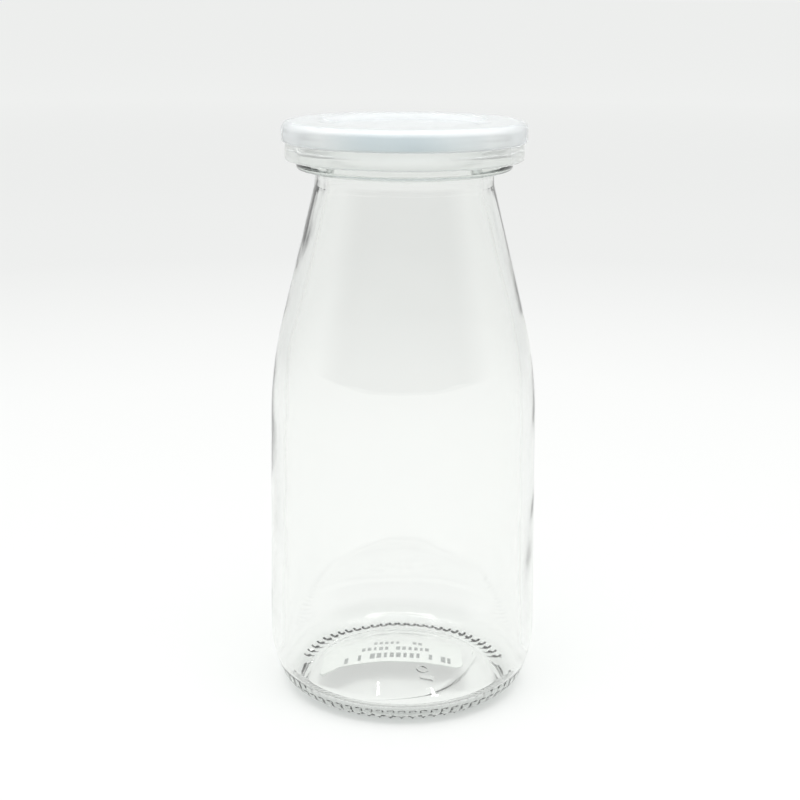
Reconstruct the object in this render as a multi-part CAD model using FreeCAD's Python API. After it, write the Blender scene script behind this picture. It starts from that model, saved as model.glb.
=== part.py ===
# A small glass milk bottle with its push-on plastic cap and a paper label under its foot.
# Millimetres, +Z up.  The origin is on the jar's axis, at the level the foot stands on.
import FreeCAD, Part
import math
import os

os.makedirs("parts", exist_ok=True)

Vector = FreeCAD.Vector
UP = Vector(0, 0, 1)
ORIGIN = Vector(0, 0, 0)

# ---- the jar's outside ----------------------------------------------------
jar_height = 127.6            # foot to rim
body_radius_low = 30.75       # at heel_height; the body narrows a little upwards
body_taper = 1.15             # how much narrower the body is where the shoulder begins
shoulder_top_radius = 19.75   # at the mould's parting line, where the neck begins
shoulder_rise = 39.9          # from the body's end up to the parting line
shoulder_round = 98.0
heel_height = 8.5             # where the heel's slope would meet the body's side
heel_round = 24.0
foot_inset = 3.4              # how much narrower the foot's flat is than the body
foot_round = 4.5
parting_step = 0.3            # the neck's mould is this much narrower than the body's
neck_height = 3.9             # from the parting line up to the bead
bead_reach = 4.05             # how far the bead below the mouth stands out from the neck
bead_height = 4.0
groove_depth = 1.0            # the cap's catch snaps into this groove
groove_height = 1.9
lip_step = 0.4                # the lip above the groove is this much narrower than the bead
lip_height = 2.9
bead_round = 0.8
groove_round = 0.4
rim_round_outer = 1.8
rim_round_inner = 1.4

# ---- the jar's inside -----------------------------------------------------
wall_low = 2.7                # glass at the heel's end
wall_shoulder = 3.1
wall_neck = 3.05              # across the neck and its parting line
mouth_round = 14.0            # bend between the mouth's bore and the shoulder's slope
floor_edge_height = 2.1       # the inner floor at the wall
floor_round = 5.5
floor_crown = 3.4             # how much higher the inner floor is at its middle
crown_inset = 6.05            # from the wall to where the floor's crown begins
inner_shoulder_round = 80.0

# ---- the foot -------------------------------------------------------------
knurl_depth = 0.8             # how far the knurls hold the foot off the table
knurl_count = 64
knurl_radius = 0.85           # each knurl is a rounded bar laid radially
knurl_flat = 0.1              # height ground off each knurl, so that it stands flat
knurl_edge_gap = 1.85         # from the knurls' outer ends to the foot's edge
knurl_length = 4.9
push_up = 3.0                 # height of the hollow dome under the foot
push_up_gap = 0.4             # from the knurls' inner ends to the dome's edge

# ---- two plain mould marks raised on the underside ------------------------
mark_wire = 0.28
mark_ring_radius = 1.15
mark_label_gap = 1.52         # from the label's front edge to the ring
mark_ring_x = 4.6
mark_bar_x = 5.8
mark_bar_pitch = 3.8          # from the ring's middle to the bar
mark_bar_length = 2.6

# ---- the cap --------------------------------------------------------------
cap_seat_gap = 0.1            # between the rim and the cap's underside
cap_top_thickness = 1.4
cap_skirt_gap = 1.1           # between the bead and the inside of the skirt
cap_skirt_wall = 1.3
cap_band_step = 0.7           # the upper band stands this much proud of the skirt
cap_band_drop = 4.4           # from the top of the cap down to the band's lower edge
cap_lip_reveal = 2.0          # height of bead left showing below the skirt
cap_edge_round = 1.7
cap_band_round = 0.5
cap_catch_gap = 0.35          # between the catch and the bottom of the groove, all round
cap_rim_width = 7.4           # the flat rim of the cap's top, outside the recess
cap_recess_slope = 3.0        # radial run of the sloped side of the recess
cap_recess_depth = 0.9
cap_panel_thickness = 1.0
cap_panel_gap = 0.7           # between the panel's sunken underside and the mouth's bore

# ---- the label ------------------------------------------------------------
label_depth = 13.0
label_middle_y = 2.85
label_left_gap = 0.48         # from the dome's edge to the label's rounded left corners
label_right_gap = 4.14        # the same at its right corners
label_corner = 2.5
label_turn = -2.0             # degrees; stuck on a little askew
label_thickness = 0.12
label_glue = 0.05             # from the glass to the paper


def point(r, z):
    return Vector(r, 0, z)


def tangent_arc(before, corner, after, radius):
    """The arc of the given radius that rounds a corner, as start, middle and end points."""
    to_before = (before - corner).normalize()
    to_after = (after - corner).normalize()
    half = to_before.getAngle(to_after) / 2
    reach = radius / math.tan(half)
    middle_way = (to_before + to_after).normalize()
    centre = corner + middle_way * (radius / math.sin(half))
    return corner + to_before * reach, centre - middle_way * radius, corner + to_after * reach


def rounded_outline(corners):
    """A closed wire in the XZ plane through (r, z, rounding) corners."""
    points = [point(r, z) for r, z, rounding in corners]
    count = len(corners)
    edges = []
    last = None
    first = None
    for i in range(count):
        rounding = corners[i][2]
        if rounding > 0:
            start, middle, end = tangent_arc(points[i - 1], points[i], points[(i + 1) % count], rounding)
        else:
            start = end = points[i]
        if last is None:
            first = start
        elif last.distanceToPoint(start) > 1e-6:
            edges.append(Part.makeLine(last, start))
        if rounding > 0:
            edges.append(Part.Arc(start, middle, end).toShape())
        last = end
    edges.append(Part.makeLine(last, first))
    return Part.Wire(edges)


def turned(corners):
    """The solid swept by an outline once round the jar's axis."""
    return Part.Face(rounded_outline(corners)).revolve(ORIGIN, UP, 360)


def dome_ball_radius(base_radius, rise):
    """Radius of the ball that stands 'rise' above a flat that cuts it base_radius wide."""
    return (base_radius ** 2 + rise ** 2) / (2 * rise)


# Heights are counted down from the rim, so the body takes up a change of jar_height.
groove_top = jar_height - lip_height
bead_top = groove_top - groove_height
bead_bottom = bead_top - bead_height
parting_height = bead_bottom - neck_height
shoulder_height = parting_height - shoulder_rise
shoulder_radius = body_radius_low - body_taper
neck_radius = shoulder_top_radius - parting_step
bead_radius = neck_radius + bead_reach
groove_radius = bead_radius - groove_depth
lip_radius = bead_radius - lip_step

# The inner wall follows the outer corners, a wall thickness inside them.
floor_radius = body_radius_low - wall_low
inner_shoulder_radius = shoulder_radius - wall_shoulder
bore_radius = shoulder_top_radius - wall_neck
crown_ball_radius = dome_ball_radius(floor_radius - crown_inset, floor_crown)

# The foot's bearing ring lies between the foot's edge and the hollow dome.
foot_level = knurl_depth
foot_edge_radius = body_radius_low - foot_inset
knurl_outer_end = foot_edge_radius - knurl_edge_gap
knurl_inner_end = knurl_outer_end - knurl_length
push_up_radius = knurl_inner_end - push_up_gap
push_ball_radius = dome_ball_radius(push_up_radius, push_up)
push_ball_centre = Vector(0, 0, foot_level + push_up - push_ball_radius)

# The label reaches to a set gap from the dome's edge on each side, and the marks lie before it.
label_back = label_middle_y + label_depth / 2
label_front = label_middle_y - label_depth / 2


def label_side(gap):
    """How far from the axis the label's side lies when its corners keep this gap."""
    corner_reach = push_up_radius - gap - label_corner
    corner_y = max(abs(label_back), abs(label_front)) - label_corner
    return math.sqrt(corner_reach ** 2 - corner_y ** 2) + label_corner


label_left = -label_side(label_left_gap)
label_right = label_side(label_right_gap)
mark_ring_y = label_front - mark_label_gap - mark_wire - mark_ring_radius
mark_bar_y = mark_ring_y - mark_bar_pitch


def jar_outside():
    return turned([
        (0, foot_level, 0),
        (foot_edge_radius, foot_level, foot_round),
        (body_radius_low, heel_height, heel_round),
        (shoulder_radius, shoulder_height, shoulder_round),
        (shoulder_top_radius, parting_height, 0),
        (neck_radius, parting_height, 0),
        (neck_radius, bead_bottom, bead_round),
        (bead_radius, bead_bottom, bead_round),
        (bead_radius, bead_top, groove_round),
        (groove_radius, bead_top, groove_round),
        (groove_radius, groove_top, groove_round),
        (lip_radius, groove_top, groove_round / 2),
        (lip_radius, jar_height, rim_round_outer),
        (0, jar_height, 0),
    ])


def jar_cavity():
    above = jar_height + 5
    flare = bore_radius + rim_round_inner
    hollow = turned([
        (0, floor_edge_height, 0),
        (floor_radius, floor_edge_height, floor_round),
        (inner_shoulder_radius, shoulder_height, inner_shoulder_round),
        (bore_radius, parting_height, mouth_round),
        (bore_radius, above, 0),
        (0, above, 0),
    ])
    rim_cut = turned([
        (0, jar_height - rim_round_inner, 0),
        (bore_radius, jar_height - rim_round_inner, 0),
        (flare, jar_height, 0),
        (flare, above, 0),
        (0, above, 0),
    ])
    rim_ring = Part.makeTorus(flare, rim_round_inner, Vector(0, 0, jar_height - rim_round_inner), UP)
    crown_top = floor_edge_height + floor_crown
    crown = Part.makeSphere(crown_ball_radius, Vector(0, 0, crown_top - crown_ball_radius))
    return hollow.cut(crown).fuse(rim_cut.cut(rim_ring))


def knurls():
    """Rounded bars laid radially across the foot's bearing ring, flat where they stand."""
    height = knurl_radius - knurl_flat
    start = knurl_inner_end + knurl_radius
    end = knurl_outer_end - knurl_radius
    outward = Vector(1, 0, 0)
    bar = Part.makeCylinder(knurl_radius, end - start, point(start, height), outward)
    ends = [Part.makeSphere(knurl_radius, point(r, height), outward) for r in (start, end)]
    ground = Part.makeBox(2 * knurl_outer_end, 2 * knurl_radius, knurl_radius,
                          Vector(0, -knurl_radius, -knurl_radius))
    whole = bar.fuse(ends).removeSplitter().cut(ground)
    copies = []
    for i in range(knurl_count):
        turned_copy = whole.copy()
        turned_copy.rotate(ORIGIN, UP, 360.0 * i / knurl_count)
        copies.append(turned_copy)
    return copies


def under_dome(x, y):
    """The point of the dome's underside at x, y."""
    return Vector(x, y, push_ball_centre.z + math.sqrt(push_ball_radius ** 2 - x * x - y * y))


def mould_marks():
    """A plain ring and a plain bar, half sunk in the underside of the dome."""
    ring = Part.makeTorus(mark_ring_radius, mark_wire, under_dome(mark_ring_x, mark_ring_y), UP)
    bar_start = under_dome(mark_bar_x, mark_bar_y) - Vector(mark_bar_length / 2, 0, 0)
    return [ring, Part.makeCylinder(mark_wire, mark_bar_length, bar_start, Vector(1, 0, 0))]


def make_jar():
    push = Part.makeSphere(push_ball_radius, push_ball_centre)
    glass = jar_outside().cut(jar_cavity()).cut(push)
    return glass.fuse(knurls() + mould_marks()).removeSplitter()


def make_cap():
    under = jar_height + cap_seat_gap
    top = under + cap_top_thickness
    skirt_inside = bead_radius + cap_skirt_gap
    skirt_outside = skirt_inside + cap_skirt_wall
    band_outside = skirt_outside + cap_band_step
    band_bottom = top - cap_band_drop
    skirt_bottom = bead_bottom + cap_lip_reveal
    catch_radius = groove_radius + cap_catch_gap
    catch_bottom = bead_top + cap_catch_gap
    catch_top = groove_top - cap_catch_gap
    recess_radius = band_outside - cap_rim_width
    recess_floor_radius = recess_radius - cap_recess_slope
    panel_top = top - cap_recess_depth
    panel_under = panel_top - cap_panel_thickness
    panel_edge = bore_radius - cap_panel_gap
    return turned([
        (0, panel_under, 0),
        (panel_edge, panel_under, 0.3),
        (panel_edge, under, 0.2),
        (skirt_inside, under, 0.6),
        (skirt_inside, catch_top, 0),
        (catch_radius, catch_top, 0.2),
        (catch_radius, catch_bottom, 0.2),
        (skirt_inside, catch_bottom, 0),
        (skirt_inside, skirt_bottom, 0.3),
        (skirt_outside, skirt_bottom, 0.5),
        (skirt_outside, band_bottom, 0.2),
        (band_outside, band_bottom, cap_band_round),
        (band_outside, top, cap_edge_round),
        (recess_radius, top, 0.8),
        (recess_floor_radius, panel_top, 0.8),
        (0, panel_top, 0),
    ])


def make_label():
    """Paper stuck to the underside of the dome, so it curves with it."""
    upper_face = push_ball_radius - label_glue
    upper = Part.makeSphere(upper_face, push_ball_centre)
    lower = Part.makeSphere(upper_face - label_thickness, push_ball_centre)
    block = Part.makeBox(label_right - label_left, label_depth, 4 * push_up,
                         Vector(label_left, label_front, foot_level - push_up))
    upright = [edge for edge in block.Edges
               if abs(edge.Vertexes[0].Z - edge.Vertexes[-1].Z) > push_up]
    block = block.makeFillet(label_corner, upright)
    block.rotate(Vector((label_left + label_right) / 2, label_middle_y, 0), UP, label_turn)
    return block.common(upper.cut(lower))


def save(shape, name):
    solids = shape.Solids
    solid = solids[0] if len(solids) == 1 else shape
    box = solid.BoundBox
    print(name, "solids", len(solids), "valid", solid.isValid(), "volume", round(solid.Volume, 1),
          "box", [round(v, 2) for v in (box.XMin, box.YMin, box.ZMin, box.XMax, box.YMax, box.ZMax)])
    solid.exportStep("parts/" + name + ".step")


save(make_jar(), "jar")
save(make_cap(), "cap")
save(make_label(), "label")
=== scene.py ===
import math

import bpy
import numpy as np
from mathutils import Matrix, Vector


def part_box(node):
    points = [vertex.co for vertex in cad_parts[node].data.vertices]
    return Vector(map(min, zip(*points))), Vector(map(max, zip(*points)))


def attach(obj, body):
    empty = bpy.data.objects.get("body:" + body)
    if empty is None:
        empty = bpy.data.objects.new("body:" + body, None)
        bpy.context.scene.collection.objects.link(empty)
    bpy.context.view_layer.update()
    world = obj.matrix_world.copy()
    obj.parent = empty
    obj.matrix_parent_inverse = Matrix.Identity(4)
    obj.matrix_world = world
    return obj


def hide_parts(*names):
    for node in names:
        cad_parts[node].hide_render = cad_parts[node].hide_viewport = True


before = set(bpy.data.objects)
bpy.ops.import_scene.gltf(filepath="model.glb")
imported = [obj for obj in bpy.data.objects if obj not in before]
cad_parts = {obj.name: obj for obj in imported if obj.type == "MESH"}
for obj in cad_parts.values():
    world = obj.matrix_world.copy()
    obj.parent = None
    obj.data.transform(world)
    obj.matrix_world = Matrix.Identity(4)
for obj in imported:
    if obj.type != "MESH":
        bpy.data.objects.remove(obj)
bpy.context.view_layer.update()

MM = 0.001

# ---- sizes of the jar, in millimetres; heights are counted from the table ----
JAR_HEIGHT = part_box("jar")[1][2] / MM
CAP_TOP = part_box("cap")[1][2] / MM
CAP_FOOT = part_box("cap")[0][2] / MM
CAP_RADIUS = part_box("cap")[1][0] / MM

FOOT_LEVEL = 0.8
FOOT_EDGE, FOOT_ROUND = 27.35, 4.5
HEEL_HEIGHT, HEEL_ROUND, BODY_LOW = 8.5, 24.0, 30.75
UP_THE_HEEL = 2.8                   # the point between the foot's rounding and the heel's
SHOULDER_RADIUS, SHOULDER_HEIGHT, SHOULDER_ROUND = 29.6, 75.0, 98.0
PARTING_RADIUS, PARTING_HEIGHT = 19.75, 114.9
PARTING_LEDGE, PARTING_FALL, PARTING_ROUND = 0.1, 0.15, 0.5     # the mould's line, worn soft
PARTING_STEP, PARTING_STEP_ROUND = 0.06, 0.08
NECK_RADIUS, NECK_FALL, NECK_ROUND = 19.45, 1.6, 4.0
BEAD_BOTTOM, BEAD_TOP, BEAD_RADIUS, BEAD_ROUND = 118.8, 122.8, 23.5, 0.8
GROOVE_RADIUS, GROOVE_TOP, GROOVE_ROUND = 22.5, 124.7, 0.4
LIP_RADIUS, RIM_OUTER_ROUND, RIM_INNER_ROUND = 23.1, 1.8, 1.4
WALL_LOW, WALL_SHOULDER, WALL_NECK = 2.7, 3.1, 3.05
INNER_SHOULDER_ROUND, MOUTH_ROUND = 80.0, 14.0
FLOOR_EDGE, FLOOR_ROUND, FLOOR_CROWN, CROWN_RADIUS = 2.1, 5.5, 3.4, 22.0
PUSH_UP, PUSH_UP_RADIUS = 3.0, 20.2
KNURLS, KNURL_RADIUS, KNURL_FLAT = 64, 0.85, 0.1
KNURL_INNER, KNURL_OUTER = 20.6, 25.5
KNURL_FADE = 4.2                    # from a knurl's inner end to where it has its full height
KNURL_LOW_REACH, KNURL_LOW_SHARE = 1.5, 0.2     # its inner part is a low ridge
KNURL_RISE_FROM = 0.6               # share of the fade where the high part begins
KNURL_END_OUT, KNURL_END_IN = 0.4, 0.8          # its rounded outer end
KNURL_ZONE_TOP = 4.5                # no outline point above this is part of a knurl or mark
MARK_WIRE, MARK_SPREAD, MARK_RISE = 0.28, 1.2, 0.4      # the last two are shares of the wire
MARK_RING_RADIUS, MARK_RING_AT = 1.15, (4.6, -6.6)
MARK_BAR_LENGTH, MARK_BAR_AT = 2.6, (5.5, -9.4)
SCAR_CENTRE, SCAR_RADIUS = (-8.6, 9.0), 26.3
SCAR_HEIGHT, SCAR_WIDTH = 0.12, 0.6
SCAR_BACK, SCAR_BACK_FULL = 9.0, 6.0            # it fades out towards the back
SCAR_LEFT, SCAR_LEFT_FULL = -12.0, -6.0         # and towards the left
DOME_EDGE_OUT, DOME_EDGE_IN = 0.4, 0.6          # scar and marks end round the dome's edge

# ---- unevenness of the blown inner wall ----
UNEVENNESS, WAVE_SCALE, WAVE_TALLNESS = 0.5, 38.0, 0.45
CREASE_SCALE, CREASE_SHARE, CREASE_START, CREASE_FULL = 330.0, 0.35, 98.0, 112.0

# ---- how finely the outlines are divided ----
JAR_STEPS, CAP_STEPS = 384, 256                 # round the axis; the jar's is six to a knurl
UNDERSIDE_RINGS, FLOOR_RINGS = 52, 14
BEARING_BEND, BEARING_SPACING = 0.25, 0.30
WALL_BEND, CORNER_BEND, WALL_SPACING = 2.2, 0.4, 4.0
CAP_BEND, CAP_SPACING = 0.3, 1.5
MOST_TURN = 0.35                                # radians of a bend between two points

# ---- sizes of the cap ----
CAP_UNDER, CAP_PANEL_TOP, CAP_PANEL_UNDER = 127.7, 128.2, 127.2
SKIRT_INSIDE, SKIRT_OUTSIDE, BAND_BOTTOM = 24.6, 25.9, 124.7
CATCH_RADIUS, CATCH_BOTTOM, CATCH_TOP = 22.85, 123.15, 124.35
RECESS_RADIUS, RECESS_FLOOR, PANEL_EDGE = 19.2, 16.2, 16.0
CAP_EDGE_ROUND = 1.7


# ---- outlines: lists of (radius, height) ----------------------------------------
def arc_points(centre, start, end, step):
    """Points from start to end round centre, no further apart than step."""
    radius = math.dist(centre, start)
    first = math.atan2(start[1] - centre[1], start[0] - centre[0])
    last = math.atan2(end[1] - centre[1], end[0] - centre[0])
    sweep = (last - first + math.pi) % (2 * math.pi) - math.pi
    count = max(2, math.ceil(abs(sweep) * radius / step), math.ceil(abs(sweep) / MOST_TURN))
    return [(centre[0] + radius * math.cos(first + sweep * i / count),
             centre[1] + radius * math.sin(first + sweep * i / count)) for i in range(count + 1)]


def outline(corners, step):
    """An open outline through (r, z, rounding) corners, its bends drawn as arcs."""
    points = [corners[0][:2]]
    for before, corner, after in zip(corners, corners[1:], corners[2:]):
        rounding = corner[2]
        if rounding == 0:
            points.append(corner[:2])
            continue
        at = Vector(corner[:2])
        back = (Vector(before[:2]) - at).normalized()
        on = (Vector(after[:2]) - at).normalized()
        half = back.angle(on) / 2
        reach = rounding / math.tan(half)
        centre = at + (back + on).normalized() * (rounding / math.sin(half))
        points += arc_points(centre, at + back * reach, at + on * reach, step)
    points.append(corners[-1][:2])
    return points


def spaced(points, step):
    """The same outline with long straight stretches divided."""
    result = [points[0]]
    for a, b in zip(points, points[1:]):
        count = max(1, math.ceil(math.dist(a, b) / step))
        result += [(a[0] + (b[0] - a[0]) * i / count, a[1] + (b[1] - a[1]) * i / count)
                   for i in range(1, count + 1)]
    return result


def dome_ball(width, rise):
    """Radius of the ball whose cap is this wide from its middle and rises this much."""
    return (width ** 2 + rise ** 2) / (2 * rise)


def jar_outline():
    """From the middle of the underside out, up the outside, over the rim and down to the floor."""
    push_ball = dome_ball(PUSH_UP_RADIUS, PUSH_UP)
    push_centre = FOOT_LEVEL + PUSH_UP - push_ball
    underside = [(r, push_centre + math.sqrt(push_ball ** 2 - r * r))
                 for r in np.linspace(0, PUSH_UP_RADIUS, UNDERSIDE_RINGS)]
    slope = (BODY_LOW - FOOT_EDGE) / (HEEL_HEIGHT - FOOT_LEVEL)
    foot = outline([
        (PUSH_UP_RADIUS, FOOT_LEVEL, 0),
        (FOOT_EDGE, FOOT_LEVEL, FOOT_ROUND),
        (FOOT_EDGE + slope * UP_THE_HEEL, FOOT_LEVEL + UP_THE_HEEL, 0),
    ], BEARING_BEND)
    bearing = spaced(foot, BEARING_SPACING)[1:]
    outside = outline([
        bearing[-1] + (0,),
        (BODY_LOW, HEEL_HEIGHT, HEEL_ROUND),
        (SHOULDER_RADIUS, SHOULDER_HEIGHT, SHOULDER_ROUND),
        (PARTING_RADIUS - PARTING_LEDGE, PARTING_HEIGHT, PARTING_ROUND),
        (PARTING_RADIUS - PARTING_LEDGE - PARTING_STEP, PARTING_HEIGHT + PARTING_FALL,
         PARTING_STEP_ROUND),
        (NECK_RADIUS, PARTING_HEIGHT + NECK_FALL, NECK_ROUND),
        (NECK_RADIUS, BEAD_BOTTOM, BEAD_ROUND),
        (BEAD_RADIUS, BEAD_BOTTOM, BEAD_ROUND),
        (BEAD_RADIUS, BEAD_TOP, GROOVE_ROUND),
        (GROOVE_RADIUS, BEAD_TOP, GROOVE_ROUND),
        (GROOVE_RADIUS, GROOVE_TOP, GROOVE_ROUND),
        (LIP_RADIUS, GROOVE_TOP, GROOVE_ROUND / 2),
        (LIP_RADIUS, JAR_HEIGHT, RIM_OUTER_ROUND),
        (PARTING_RADIUS, JAR_HEIGHT, 0),
    ], WALL_BEND)[1:]
    floor_radius = BODY_LOW - WALL_LOW
    crown_ball = dome_ball(CROWN_RADIUS, FLOOR_CROWN)
    crown_centre = FLOOR_EDGE + FLOOR_CROWN - crown_ball
    inside = outline([
        (PARTING_RADIUS, JAR_HEIGHT, 0),
        (PARTING_RADIUS - WALL_NECK, JAR_HEIGHT, RIM_INNER_ROUND),
        (PARTING_RADIUS - WALL_NECK, PARTING_HEIGHT, MOUTH_ROUND),
        (SHOULDER_RADIUS - WALL_SHOULDER, SHOULDER_HEIGHT, INNER_SHOULDER_ROUND),
        (floor_radius, FLOOR_EDGE, 0),
    ], WALL_BEND)[1:-1]
    corner = outline([
        inside[-1] + (0,),
        (floor_radius, FLOOR_EDGE, FLOOR_ROUND),
        (CROWN_RADIUS, FLOOR_EDGE, 0),
    ], CORNER_BEND)[1:]
    floor = [(r, crown_centre + math.sqrt(crown_ball ** 2 - r * r))
             for r in np.linspace(CROWN_RADIUS, 0, FLOOR_RINGS)[1:]]
    outer = spaced(outside, WALL_SPACING)
    inner = spaced(inside + corner, WALL_SPACING)
    points = underside + bearing + outer + inner + floor
    first_inside = len(underside) + len(bearing) + len(outer)
    return points, [1.0 if i >= first_inside else 0.0 for i in range(len(points))]


def cap_outline():
    """From the middle of the cap's underside over the catch and skirt, and back over the top."""
    points = outline([
        (0, CAP_PANEL_UNDER, 0),
        (PANEL_EDGE, CAP_PANEL_UNDER, 0.3),
        (PANEL_EDGE, CAP_UNDER, 0.2),
        (SKIRT_INSIDE, CAP_UNDER, 0.6),
        (SKIRT_INSIDE, CATCH_TOP, 0.1),
        (CATCH_RADIUS, CATCH_TOP, 0.2),
        (CATCH_RADIUS, CATCH_BOTTOM, 0.2),
        (SKIRT_INSIDE, CATCH_BOTTOM, 0.1),
        (SKIRT_INSIDE, CAP_FOOT, 0.3),
        (SKIRT_OUTSIDE, CAP_FOOT, 0.5),
        (SKIRT_OUTSIDE, BAND_BOTTOM, 0.2),
        (CAP_RADIUS, BAND_BOTTOM, 0.5),
        (CAP_RADIUS, CAP_TOP, CAP_EDGE_ROUND),
        (RECESS_RADIUS, CAP_TOP, 0.8),
        (RECESS_FLOOR, CAP_PANEL_TOP, 0.8),
        (0, CAP_PANEL_TOP, 0),
    ], CAP_BEND)
    return spaced(points, CAP_SPACING)


# ---- node helpers ---------------------------------------------------------------
def put(tree, kind, wires=(), **settings):
    """Adds a node; wires sets inputs by name or place, to a value or to another node's output."""
    node = tree.nodes.new(kind)
    for name, value in settings.items():
        setattr(node, name, value)
    for key, value in dict(wires).items():
        if isinstance(value, bpy.types.NodeSocket):
            tree.links.new(value, node.inputs[key])
        else:
            node.inputs[key].default_value = value
    return node


def sums(tree, kind):
    """A function that adds one math step and returns its output."""
    def step(operation, *values, clamp=False):
        node = put(tree, kind, dict(enumerate(values)), operation=operation)
        if clamp:
            node.use_clamp = True
        return node.outputs[0]
    return step


def ramp(tree, value, start, end, low=0.0, high=1.0):
    """A straight ramp from low at start to high at end, and level beyond both."""
    return put(tree, "ShaderNodeMapRange", {"Value": value, "From Min": start, "From Max": end,
                                            "To Min": low, "To Max": high}).outputs[0]


def noise(tree, where, scale, **more):
    return put(tree, "ShaderNodeTexNoise", {"Vector": where, "Scale": scale, **more}).outputs[0]


def bump(tree, height, strength, distance):
    return put(tree, "ShaderNodeBump", {"Height": height, "Strength": strength,
                                        "Distance": distance}).outputs[0]


def turned_tree():
    """Geometry nodes: an outline turned round Z, with knurls under the foot and uneven walls."""
    tree = bpy.data.node_groups.new("turned glass", "GeometryNodeTree")
    face = tree.interface
    face.new_socket("Outline", in_out="INPUT", socket_type="NodeSocketGeometry")
    for name, kind in (("Steps round", "NodeSocketInt"), ("Points", "NodeSocketInt"),
                       ("Knurls", "NodeSocketInt"), ("Knurl radius", "NodeSocketFloat"),
                       ("Knurl fade", "NodeSocketFloat"), ("Knurl start", "NodeSocketFloat"),
                       ("Knurl end", "NodeSocketFloat"), ("Unevenness", "NodeSocketFloat"),
                       ("Seed", "NodeSocketFloat"), ("Material", "NodeSocketMaterial")):
        face.new_socket(name, in_out="INPUT", socket_type=kind)
    face.new_socket("Piece", in_out="OUTPUT", socket_type="NodeSocketGeometry")
    given = put(tree, "NodeGroupInput").outputs
    do = sums(tree, "ShaderNodeMath")
    columns = do("ADD", given["Steps round"], 1)
    grid = put(tree, "GeometryNodeMeshGrid", {"Vertices X": columns, "Vertices Y": given["Points"]})
    index = put(tree, "GeometryNodeInputIndex").outputs[0]
    along = do("FLOORED_MODULO", index, given["Points"])
    around = do("FLOOR", do("DIVIDE", index, given["Points"]))
    turn = do("MULTIPLY", do("DIVIDE", around, given["Steps round"]), 2 * math.pi)
    where = put(tree, "GeometryNodeInputPosition").outputs[0]
    sample = put(tree, "GeometryNodeSampleIndex", {"Geometry": given["Outline"], "Index": along},
                 data_type="FLOAT_VECTOR", domain="POINT")
    tree.links.new(where, sample.inputs["Value"])
    inside_name = put(tree, "GeometryNodeInputNamedAttribute", {"Name": "inside"},
                      data_type="FLOAT")
    inside = put(tree, "GeometryNodeSampleIndex", {"Geometry": given["Outline"], "Index": along},
                 data_type="FLOAT", domain="POINT")
    tree.links.new(inside_name.outputs["Attribute"], inside.inputs["Value"])
    parts = put(tree, "ShaderNodeSeparateXYZ", {0: sample.outputs["Value"]}).outputs
    radius, height = parts["X"], parts["Z"]
    direction = put(tree, "ShaderNodeCombineXYZ", {
        "X": do("COSINE", turn), "Y": do("SINE", turn), "Z": 0.0}).outputs[0]

    # Uneven walls: only the inner face wanders, and less towards the middle of the floor.
    spot = put(tree, "ShaderNodeVectorMath", {0: direction}, operation="SCALE")
    tree.links.new(do("MULTIPLY", radius, 1.0), spot.inputs["Scale"])
    tallness = do("MULTIPLY", height, WAVE_TALLNESS)
    place = put(tree, "ShaderNodeCombineXYZ", {"X": 0.0, "Y": 0.0, "Z": tallness})
    at = put(tree, "ShaderNodeVectorMath", {0: spot.outputs[0], 1: place.outputs[0]},
             operation="ADD")
    rough = put(tree, "ShaderNodeTexNoise", {"Vector": at.outputs[0], "W": given["Seed"],
                                             "Scale": WAVE_SCALE, "Detail": 1.0, "Roughness": 0.4},
                noise_dimensions="4D")
    wander = do("MULTIPLY", do("SUBTRACT", rough.outputs[0], 0.5), given["Unevenness"])
    wander = do("MULTIPLY", wander, inside.outputs["Value"])
    wander = do("MULTIPLY", wander, do("MINIMUM", do("MULTIPLY", radius, 60.0), 1.0))
    fine = put(tree, "ShaderNodeTexNoise", {"Vector": at.outputs[0], "W": given["Seed"],
                                            "Scale": CREASE_SCALE, "Detail": 2.0, "Roughness": 0.5},
               noise_dimensions="4D")
    near_neck = ramp(tree, height, CREASE_START * MM, CREASE_FULL * MM)
    crease = do("MULTIPLY", do("SUBTRACT", fine.outputs[0], 0.5), given["Unevenness"])
    crease = do("MULTIPLY", crease, CREASE_SHARE)
    crease = do("MULTIPLY", do("MULTIPLY", crease, near_neck), inside.outputs["Value"])
    new_radius = do("ADD", radius, do("ADD", wander, crease))

    # Knurls: rounded ridges across the foot, fading inward, each reaching down to the table.
    pitch = do("DIVIDE", 2 * math.pi, given["Knurls"])
    off = do("SUBTRACT", do("FLOORED_MODULO", do("ADD", turn, do("MULTIPLY", pitch, 0.5)), pitch),
             do("MULTIPLY", pitch, 0.5))
    across = do("ABSOLUTE", do("MULTIPLY", do("SINE", off), radius))

    def ease(value, start, end):
        return put(tree, "ShaderNodeMapRange", {"Value": value, "From Min": start, "From Max": end,
                                                "To Min": 0.0, "To Max": 1.0},
                   interpolation_type="SMOOTHSTEP").outputs[0]

    ridge = ease(across, given["Knurl radius"], KNURL_FLAT * MM)
    ridge = do("MULTIPLY", ridge, ease(radius, do("ADD", given["Knurl end"], KNURL_END_OUT * MM),
                                       do("SUBTRACT", given["Knurl end"], KNURL_END_IN * MM)))
    begin, fade = given["Knurl start"], given["Knurl fade"]
    low_part = ease(radius, begin, do("ADD", begin, KNURL_LOW_REACH * MM))
    high_from = do("ADD", begin, do("MULTIPLY", fade, KNURL_RISE_FROM))
    high_part = ease(radius, high_from, do("ADD", begin, fade))
    ridge = do("MULTIPLY", ridge, do("ADD", do("MULTIPLY", low_part, KNURL_LOW_SHARE),
                                     do("MULTIPLY", high_part, 1 - KNURL_LOW_SHARE)))
    outer_face = do("SUBTRACT", 1.0, inside.outputs["Value"])
    under = do("MULTIPLY", do("LESS_THAN", height, KNURL_ZONE_TOP * MM), outer_face)
    bearing = do("MULTIPLY", under, do("GREATER_THAN", radius, given["Knurl start"]))
    raised = do("MULTIPLY", height, do("MULTIPLY", ridge, bearing))

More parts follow.
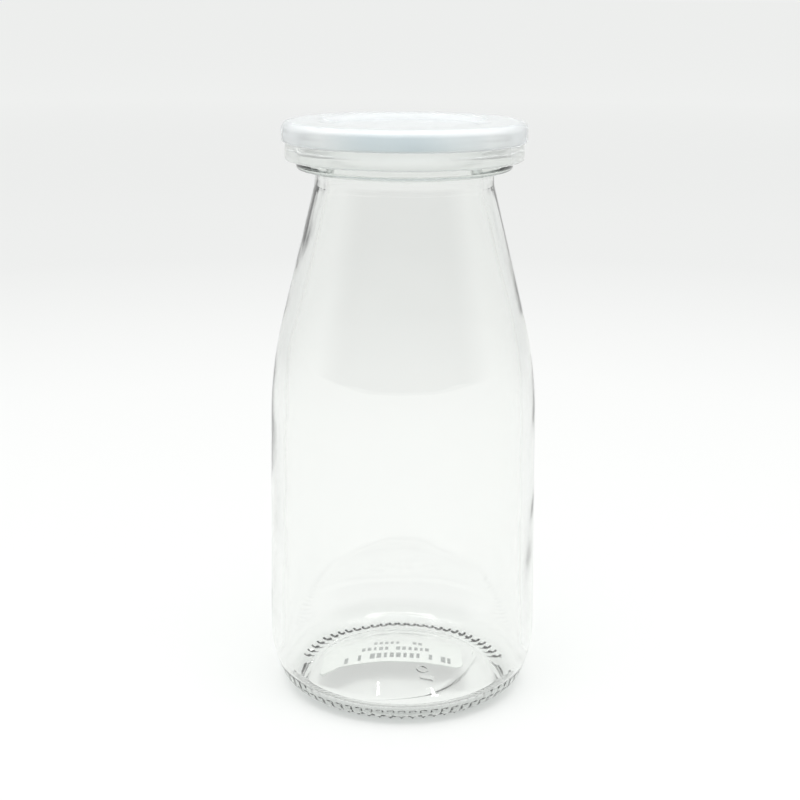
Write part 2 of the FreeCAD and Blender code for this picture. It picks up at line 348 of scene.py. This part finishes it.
    # Marks of the mould under the dome: the scar of its plunger, a small ring and a short bar.
    place_x = do("MULTIPLY", do("COSINE", turn), radius)
    place_y = do("MULTIPLY", do("SINE", turn), radius)

    def distance(x, y, centre):
        return do("SQRT", do("ADD", do("POWER", do("SUBTRACT", x, centre[0] * MM), 2.0),
                             do("POWER", do("SUBTRACT", y, centre[1] * MM), 2.0)))

    scar_off = do("ABSOLUTE", do("SUBTRACT", distance(place_x, place_y, SCAR_CENTRE),
                                 SCAR_RADIUS * MM))
    scar = do("MULTIPLY", ease(scar_off, SCAR_WIDTH * MM, 0.0),
              ease(place_y, SCAR_BACK * MM, SCAR_BACK_FULL * MM))
    scar = do("MULTIPLY", scar, ease(place_x, SCAR_LEFT * MM, SCAR_LEFT_FULL * MM))
    scar = do("MULTIPLY", scar, SCAR_HEIGHT * MM)
    ring_off = do("ABSOLUTE", do("SUBTRACT", distance(place_x, place_y, MARK_RING_AT),
                                 MARK_RING_RADIUS * MM))
    along_bar = do("ABSOLUTE", do("SUBTRACT", place_x, MARK_BAR_AT[0] * MM))
    past = do("MAXIMUM", do("SUBTRACT", along_bar, MARK_BAR_LENGTH / 2 * MM), 0.0)
    bar_off = do("SQRT", do("ADD", do("POWER", past, 2.0),
                            do("POWER", do("SUBTRACT", place_y, MARK_BAR_AT[1] * MM), 2.0)))
    mark = do("MULTIPLY", ease(do("MINIMUM", ring_off, bar_off), MARK_SPREAD * MARK_WIRE * MM, 0.0),
              MARK_RISE * MARK_WIRE * MM)
    on_dome = do("MULTIPLY", under, ease(radius, (PUSH_UP_RADIUS + DOME_EDGE_OUT) * MM,
                                         (PUSH_UP_RADIUS - DOME_EDGE_IN) * MM))
    lowered = do("MULTIPLY", do("MAXIMUM", scar, mark), on_dome)
    new_height = do("SUBTRACT", do("SUBTRACT", height, raised), lowered)

    out = put(tree, "ShaderNodeVectorMath", {0: direction}, operation="SCALE")
    tree.links.new(new_radius, out.inputs["Scale"])
    lift = put(tree, "ShaderNodeCombineXYZ", {"X": 0.0, "Y": 0.0, "Z": new_height})
    final = put(tree, "ShaderNodeVectorMath", {0: out.outputs[0], 1: lift.outputs[0]},
                operation="ADD")
    moved = put(tree, "GeometryNodeSetPosition", {"Geometry": grid.outputs["Mesh"],
                                                  "Position": final.outputs[0]})
    merged = put(tree, "GeometryNodeMergeByDistance", {"Geometry": moved.outputs[0],
                                                       "Distance": 1e-6})
    smooth = put(tree, "GeometryNodeSetShadeSmooth", {"Geometry": merged.outputs[0]})
    real = put(tree, "GeometryNodeRealizeInstances", {"Geometry": smooth.outputs[0]})
    painted = put(tree, "GeometryNodeSetMaterial", {"Geometry": real.outputs[0],
                                                    "Material": given["Material"]})
    result = put(tree, "NodeGroupOutput")
    tree.links.new(painted.outputs[0], result.inputs[0])
    return tree


def plain_copy(source, name):
    """The evaluated shape of an object as a plain mesh object; the source is removed."""
    bpy.context.view_layer.update()
    graph = bpy.context.evaluated_depsgraph_get()
    mesh = bpy.data.meshes.new_from_object(source.evaluated_get(graph))
    mesh.name = name
    bpy.data.objects.remove(source)
    piece = bpy.data.objects.new(name, mesh)
    bpy.context.scene.collection.objects.link(piece)
    return piece


def turned_piece(name, points, inside, material, steps, **inputs):
    mesh = bpy.data.meshes.new(name + "_outline")
    mesh.from_pydata([(r * MM, 0, z * MM) for r, z in points],
                     [(i, i + 1) for i in range(len(points) - 1)], [])
    mark = mesh.attributes.new("inside", "FLOAT", "POINT")
    mark.data.foreach_set("value", inside)
    source = bpy.data.objects.new(name + "_outline", mesh)
    bpy.context.scene.collection.objects.link(source)
    modifier = source.modifiers.new("turn", "NODES")
    modifier.node_group = TURNED
    values = {"Steps round": steps, "Points": len(points), "Material": material, **inputs}
    for item in TURNED.interface.items_tree:
        if item.in_out == "INPUT" and item.name in values:
            modifier[item.identifier] = values[item.name]
    return plain_copy(source, name)


def outward(piece):
    """Turns every face of a closed piece to point out of its solid."""
    mesh = piece.data
    mesh.calc_loop_triangles()
    volume = 0.0
    for triangle in mesh.loop_triangles:
        a, b, c = (mesh.vertices[i].co for i in triangle.vertices)
        volume += a.dot(b.cross(c))
    if volume < 0:
        mesh.flip_normals()
    return piece


# ---- materials --------------------------------------------------------------------
def new_material(name):
    material = bpy.data.materials.new(name)
    material.use_nodes = True
    material.node_tree.nodes.clear()
    return material, material.node_tree


def see_through_for_light(tree, shell, colour):
    """Light on its way to the table and the label goes straight through, tinted by colour."""
    path = put(tree, "ShaderNodeLightPath").outputs
    clear = put(tree, "ShaderNodeBsdfTransparent", {"Color": colour}).outputs[0]
    for_lamps = put(tree, "ShaderNodeMixShader", {0: path["Is Shadow Ray"], 1: shell, 2: clear})
    for_room = put(tree, "ShaderNodeMixShader", {0: path["Is Diffuse Ray"], 1: for_lamps.outputs[0],
                                                 2: clear})
    return for_room.outputs[0]


GLASS_GREEN, GLASS_DENSITY = (0.45, 0.56, 0.46, 1), 17.0        # of its thickness
FACE_ON_LIGHT, EDGE_ON_LIGHT = (0.996, 0.998, 0.996, 1), (0.86, 0.875, 0.865, 1)
EDGE_ON_FROM = 0.6
HEEL_LIGHT = (0.42, 0.44, 0.43, 1)          # least light, round the foot towards -Y; paints a contact shadow on the table
HEEL_RING = (KNURL_INNER - 0.5, KNURL_INNER + 2.0)
HEEL_TOP, HEEL_FULL = 3.2, 1.8
HEEL_BACK, HEEL_FRONT, HEEL_BACK_SHARE = 12.0, -18.0, 0.2


def glass_material():
    """Clear soda-lime glass: faint ripples, smears from handling, green where it's thick."""
    material, tree = new_material("clear glass")
    where = put(tree, "ShaderNodeTexCoord").outputs["Object"]
    ripple = bump(tree, noise(tree, where, 55.0, Detail=1.5, Roughness=0.45), 0.12, 0.002)
    smear = noise(tree, where, 140.0, Detail=4.0, Distortion=0.6)
    shell = put(tree, "ShaderNodeBsdfPrincipled", {
        "Base Color": (1.0, 1.0, 0.997, 1), "Roughness": ramp(tree, smear, 0.45, 0.8, 0.0, 0.04),
        "IOR": 1.52, "Transmission Weight": 1.0, "Normal": ripple})
    edge_on = put(tree, "ShaderNodeLayerWeight", {"Blend": 0.5}).outputs["Facing"]
    shade = put(tree, "ShaderNodeValToRGB", {"Fac": edge_on})
    face_stop, edge_stop = shade.color_ramp.elements
    face_stop.position, face_stop.color = EDGE_ON_FROM, FACE_ON_LIGHT
    edge_stop.position, edge_stop.color = 1.0, EDGE_ON_LIGHT
    axes = put(tree, "ShaderNodeSeparateXYZ", {0: where}).outputs
    do = sums(tree, "ShaderNodeMath")
    away = do("SQRT", do("ADD", do("POWER", axes["X"], 2.0), do("POWER", axes["Y"], 2.0)))
    # A painted contact shadow: light through the foot's lowest ring is darkened, more towards -Y
    # than at the back.
    ring = ramp(tree, away, HEEL_RING[0] * MM, HEEL_RING[1] * MM)
    low = ramp(tree, axes["Z"], HEEL_TOP * MM, HEEL_FULL * MM)
    front = ramp(tree, axes["Y"], HEEL_BACK * MM, HEEL_FRONT * MM, HEEL_BACK_SHARE, 1.0)
    heel = put(tree, "ShaderNodeMix", {"Factor": do("MULTIPLY", do("MULTIPLY", ring, low), front),
                                       "A": shade.outputs[0], "B": HEEL_LIGHT}, data_type="RGBA")
    surface = see_through_for_light(tree, shell.outputs[0], heel.outputs[2])
    tint = put(tree, "ShaderNodeVolumeAbsorption", {"Color": GLASS_GREEN, "Density": GLASS_DENSITY})
    put(tree, "ShaderNodeOutputMaterial", {"Surface": surface, "Volume": tint.outputs[0]})
    return material


# The cap's bluish white with painted shade and light by how edge-on it is seen (darker face-on,
# lighter towards its sides), and its clear skirt.
CAP_MILK_AND_SHADE = ((0.0, (0.70, 0.775, 0.81)), (0.3, (0.985, 0.995, 1.0)), (0.93, (0.80, 0.825, 0.855)))
SKIRT_TONE = (0.975, 0.985, 0.975, 1)
MILKY_EDGE = 0.15
SKIRT_CLEARNESS, MILKY_CLEARNESS = 0.72, 0.55
CAP_LIGHT = (0.98, 0.984, 0.988, 1)


def cap_material():
    """Soft translucent plastic, bluish white, with the faint flow marks of moulding, and painted
    shade by how it faces.
    """
    material, tree = new_material("cap plastic")
    where = put(tree, "ShaderNodeTexCoord").outputs["Object"]
    flow = bump(tree, noise(tree, where, 90.0, Detail=3.0, Distortion=1.0), 0.1, 0.0006)
    cloud = noise(tree, where, 60.0, Detail=2.0)
    do = sums(tree, "ShaderNodeMath")
    facing = put(tree, "ShaderNodeLayerWeight", {"Blend": 0.5}).outputs["Facing"]
    drift = do("MULTIPLY", do("SUBTRACT", cloud, 0.5), 0.3)
    # painted shade and light: the colour follows how edge-on the cap is seen, not a change in its
    # plastic
    milk_and_shade = put(tree, "ShaderNodeValToRGB", {"Fac": do("ADD", facing, drift)})
    for i, (stop_at, colour) in enumerate(CAP_MILK_AND_SHADE):
        stop = milk_and_shade.color_ramp.elements[i] if i < 2 else milk_and_shade.color_ramp.elements.new(stop_at)
        stop.position = stop_at
        stop.color = colour + (1,)
    height = put(tree, "ShaderNodeSeparateXYZ", {0: where}).outputs["Z"]
    milky = ramp(tree, height, (BAND_BOTTOM - MILKY_EDGE) * MM, (BAND_BOTTOM + MILKY_EDGE) * MM)
    colour = put(tree, "ShaderNodeMix", {"Factor": milky, "A": SKIRT_TONE, "B": milk_and_shade.outputs[0]},
                 data_type="RGBA")
    shell = put(tree, "ShaderNodeBsdfPrincipled", {
        "Base Color": colour.outputs[2], "Roughness": 0.14, "IOR": 1.45, "Normal": flow,
        "Transmission Weight": ramp(tree, milky, 0.0, 1.0, SKIRT_CLEARNESS, MILKY_CLEARNESS)})
    surface = see_through_for_light(tree, shell.outputs[0], CAP_LIGHT)
    put(tree, "ShaderNodeOutputMaterial", {"Surface": surface})
    return material


# Each row of printed bars: its middle y, its height, its two ends and the pitch of its bars.
LABEL_ROWS = ((6.4, 1.8, -7.1, 4.6, 1.3), (3.1, 2.1, -9.8, 6.6, 1.35),
              (-0.7, 2.7, -13.6, 11.4, 1.5))
LABEL_TURN = 2.0                            # degrees from the rows to the X axis
LABEL_BEND = 6.0                            # how much the rows are arched
BAR_LEAST, BAR_SPREAD, BAR_MISSING = 0.22, 0.2, 0.2
PAPER_WHITE, INK_GREY = (0.88, 0.88, 0.875, 1), (0.24, 0.24, 0.25, 1)
PAPER_LIGHT = (0.6, 0.6, 0.6, 1)            # what each face of the thin paper lets through


def paper_material():
    """White paper with three rows of short grey bars."""
    material, tree = new_material("label paper")
    do = sums(tree, "ShaderNodeMath")
    where = put(tree, "ShaderNodeTexCoord").outputs["Object"]
    turned = put(tree, "ShaderNodeMapping", {"Vector": where,
                                             "Rotation": (0, 0, math.radians(LABEL_TURN))})
    axes = put(tree, "ShaderNodeSeparateXYZ", {0: turned.outputs[0]}).outputs
    fibre = bump(tree, noise(tree, where, 900.0, Detail=3.0), 0.2, 0.0003)

    def within(value, half, edge):
        return ramp(tree, do("ABSOLUTE", value), half, half - edge)

    print_all = None
    for middle, tall, left, right, pitch in LABEL_ROWS:
        bend = do("MULTIPLY", do("POWER", axes["X"], 2.0), LABEL_BEND)
        up = do("ADD", do("SUBTRACT", axes["Y"], middle * MM), bend)
        row = within(up, tall / 2 * MM, 0.25 * MM)
        centred = do("SUBTRACT", axes["X"], (left + right) / 2 * MM)
        span = within(centred, (right - left) / 2 * MM, 0.1 * MM)
        step = do("DIVIDE", do("SUBTRACT", axes["X"], left * MM), pitch * MM)
        cell = put(tree, "ShaderNodeTexWhiteNoise", {"W": do("ADD", do("FLOOR", step), middle)},
                   noise_dimensions="1D").outputs[0]
        width = do("ADD", do("MULTIPLY", cell, BAR_SPREAD), BAR_LEAST)
        off_middle = do("ABSOLUTE", do("SUBTRACT", do("FRACT", step), 0.5))
        bar = ramp(tree, off_middle, width, do("SUBTRACT", width, 0.1))
        bar = do("MULTIPLY", bar, do("GREATER_THAN", cell, BAR_MISSING))
        bar = do("MULTIPLY", do("MULTIPLY", bar, row), span)
        print_all = bar if print_all is None else do("MAXIMUM", print_all, bar)
    patchy = noise(tree, where, 1500.0, Detail=2.0)
    ink = do("MULTIPLY", print_all, do("ADD", do("MULTIPLY", patchy, 0.8), 0.5), clamp=True)
    colour = put(tree, "ShaderNodeMix", {"Factor": ink, "A": PAPER_WHITE, "B": INK_GREY},
                 data_type="RGBA")
    shell = put(tree, "ShaderNodeBsdfPrincipled", {
        "Base Color": colour.outputs[2], "Roughness": 0.8, "Normal": fibre})
    surface = see_through_for_light(tree, shell.outputs[0], PAPER_LIGHT)
    put(tree, "ShaderNodeOutputMaterial", {"Surface": surface})
    return material


# ---- stage, in metres ---------------------------------------------------------------
TABLE_RADIUS, TABLE_CORNERS = 60.0, 96
FLOOR_GREY, FLOOR_REACH = 0.55, 2.0
FLOOR_GLOW = ((0.28, 0.336), (0.35, 0.322), (0.45, 0.304), (0.58, 0.289),       # (distance, glow)
              (0.77, 0.316), (1.2, 0.358), (2.0, 0.416))
ROOM_LIGHT, ROOM_COLOUR, BACKDROP = 0.8, (0.985, 1.0, 0.985, 1), (0.852, 0.864, 0.850, 1)
MIRROR_DIM, BENT_DIM = 0.0, 0.86            # the near side, in reflections and through glass
NEAR_FROM, NEAR_FULL = -0.10, -0.55         # the near side's directions, by Y
LOW_FROM, LOW_FULL = 0.80, 0.55             # and by Z
SOFTBOX = ((0.0, -0.3, 1.1), (1.0, 0.5), 7.0)               # place, size and watts
WINDOW_LEFT = ((-0.10, 0.73, 0.685), (0.008, 0.035), 0.013)
WINDOW_RIGHT = ((0.145, 0.73, 0.685), (0.033, 0.045), 0.063)
WINDOW_AIM = (0, 0, 0.06)
CAMERA_PLACE, CAMERA_DOWN, CAMERA_ROLL = (0, -0.323, 0.155), 15.3, 0.3
CAMERA_FOCAL, CAMERA_SHIFT, SENSOR = 1.85, -0.0041, 36.0    # the focal length in sensor widths
MOST_BOUNCES = 24


def floor_material():
    """White near the jar, paler grey further off; only its diffuse part takes the jar's shadow."""
    material, tree = new_material("table")
    do = sums(tree, "ShaderNodeMath")
    where = put(tree, "ShaderNodeTexCoord").outputs["Object"]
    away = put(tree, "ShaderNodeVectorMath", {0: where}, operation="LENGTH").outputs["Value"]
    fade = put(tree, "ShaderNodeValToRGB", {"Fac": do("DIVIDE", away, FLOOR_REACH)})
    stops = fade.color_ramp
    for i, (distance, level) in enumerate(FLOOR_GLOW):
        stop = stops.elements[i] if i < 2 else stops.elements.new(distance / FLOOR_REACH)
        stop.position = distance / FLOOR_REACH
        stop.color = (level * 0.995, level, level * 0.993, 1)
    path = put(tree, "ShaderNodeLightPath").outputs
    bent = do("MAXIMUM", path["Is Transmission Ray"], path["Is Glossy Ray"])
    seen = do("MAXIMUM", path["Is Camera Ray"], bent)
    diffuse = put(tree, "ShaderNodeBsdfDiffuse", {"Color": (FLOOR_GREY, FLOOR_GREY, FLOOR_GREY, 1)})
    glow = put(tree, "ShaderNodeEmission", {"Color": fade.outputs[0], "Strength": seen})
    both = put(tree, "ShaderNodeAddShader", {0: diffuse.outputs[0], 1: glow.outputs[0]})
    put(tree, "ShaderNodeOutputMaterial", {"Surface": both.outputs[0]})
    return material


def make_stage():
    mesh = bpy.data.meshes.new("table")
    corner_turns = [2 * math.pi * i / TABLE_CORNERS for i in range(TABLE_CORNERS)]
    mesh.from_pydata([(TABLE_RADIUS * math.cos(turn), TABLE_RADIUS * math.sin(turn), 0)
                      for turn in corner_turns], [], [tuple(range(TABLE_CORNERS))])
    table = bpy.data.objects.new("table", mesh)
    bpy.context.scene.collection.objects.link(table)
    table.data.materials.append(floor_material())


def make_world():
    """Pale all round; what the glass mirrors from the camera's side of the room is dimmer."""
    world = bpy.data.worlds.new("room")
    world.use_nodes = True
    tree = world.node_tree
    tree.nodes.clear()
    path = put(tree, "ShaderNodeLightPath").outputs
    do = sums(tree, "ShaderNodeMath")
    facing = put(tree, "ShaderNodeTexCoord").outputs["Generated"]
    axes = put(tree, "ShaderNodeSeparateXYZ", {0: facing}).outputs
    near_side = ramp(tree, axes["Y"], NEAR_FROM, NEAR_FULL)
    low_down = ramp(tree, axes["Z"], LOW_FROM, LOW_FULL)
    least = do("ADD", do("MULTIPLY", path["Is Glossy Ray"], MIRROR_DIM - BENT_DIM), BENT_DIM)
    dim = do("SUBTRACT", 1.0, do("MULTIPLY", do("MULTIPLY", near_side, low_down),
                                 do("SUBTRACT", 1.0, least)))
    bent = do("MAXIMUM", path["Is Glossy Ray"], path["Is Transmission Ray"])
    seen = put(tree, "ShaderNodeBackground", {"Color": BACKDROP, "Strength": 1.0})
    mirrored = put(tree, "ShaderNodeBackground", {"Color": BACKDROP, "Strength": dim})
    room = put(tree, "ShaderNodeBackground", {"Color": ROOM_COLOUR, "Strength": ROOM_LIGHT})
    first = put(tree, "ShaderNodeMixShader", {0: bent, 1: room.outputs[0], 2: mirrored.outputs[0]})
    mix = put(tree, "ShaderNodeMixShader", {0: path["Is Camera Ray"], 1: first.outputs[0],
                                            2: seen.outputs[0]})
    put(tree, "ShaderNodeOutputWorld", {"Surface": mix.outputs[0]})
    bpy.context.scene.world = world


def lamp(name, aim, place, size, power):
    data = bpy.data.lights.new(name, "AREA")
    data.shape = "RECTANGLE"
    data.size, data.size_y = size
    data.energy = power
    lamp_object = bpy.data.objects.new(name, data)
    lamp_object.location = place
    lamp_object.rotation_euler = (Vector(place) - Vector(aim)).to_track_quat("Z", "Y").to_euler()
    bpy.context.scene.collection.objects.link(lamp_object)


def make_lamps():
    lamp("overhead softbox", (0, 0, 0), *SOFTBOX)
    lamp("window left", WINDOW_AIM, *WINDOW_LEFT)
    lamp("window right", WINDOW_AIM, *WINDOW_RIGHT)


def make_camera():
    data = bpy.data.cameras.new("camera")
    data.sensor_width = SENSOR
    data.lens = SENSOR * CAMERA_FOCAL
    data.shift_x = CAMERA_SHIFT
    camera = bpy.data.objects.new("camera", data)
    camera.matrix_world = (Matrix.Translation(CAMERA_PLACE)
                           @ Matrix.Rotation(math.radians(90 - CAMERA_DOWN), 4, "X")
                           @ Matrix.Rotation(math.radians(CAMERA_ROLL), 4, "Z"))
    bpy.context.scene.collection.objects.link(camera)
    bpy.context.scene.camera = camera


# ---- making it -----------------------------------------------------------------------
TURNED = turned_tree()
make_camera()
make_world()
make_lamps()
make_stage()
bpy.context.scene.view_settings.view_transform = "Standard"
cycles = bpy.context.scene.cycles
cycles.max_bounces = cycles.transmission_bounces = cycles.transparent_max_bounces = MOST_BOUNCES
cycles.caustics_refractive = False
cycles.caustics_reflective = False

CLEAR_GLASS = glass_material()
CAP_PLASTIC = cap_material()
LABEL_PAPER = paper_material()

jar_points, jar_inside = jar_outline()
jar = turned_piece("jar_glass", jar_points, jar_inside, CLEAR_GLASS, JAR_STEPS, **{
    "Knurls": KNURLS, "Knurl radius": KNURL_RADIUS * MM, "Knurl fade": KNURL_FADE * MM,
    "Knurl start": KNURL_INNER * MM, "Knurl end": KNURL_OUTER * MM,
    "Unevenness": UNEVENNESS * MM, "Seed": 3.0})
outward(jar)
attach(jar, "root")
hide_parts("jar")

cap_points = cap_outline()
cap = turned_piece("cap_moulding", cap_points, [0.0] * len(cap_points), CAP_PLASTIC, CAP_STEPS, **{
    "Knurls": 1, "Knurl radius": 0.0, "Knurl fade": 0.0, "Knurl start": 0.0, "Knurl end": 0.0,
    "Unevenness": 0.0, "Seed": 1.0})
outward(cap)
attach(cap, "root")
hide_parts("cap")

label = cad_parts["label"].data
label.materials.clear()
label.materials.append(LABEL_PAPER)
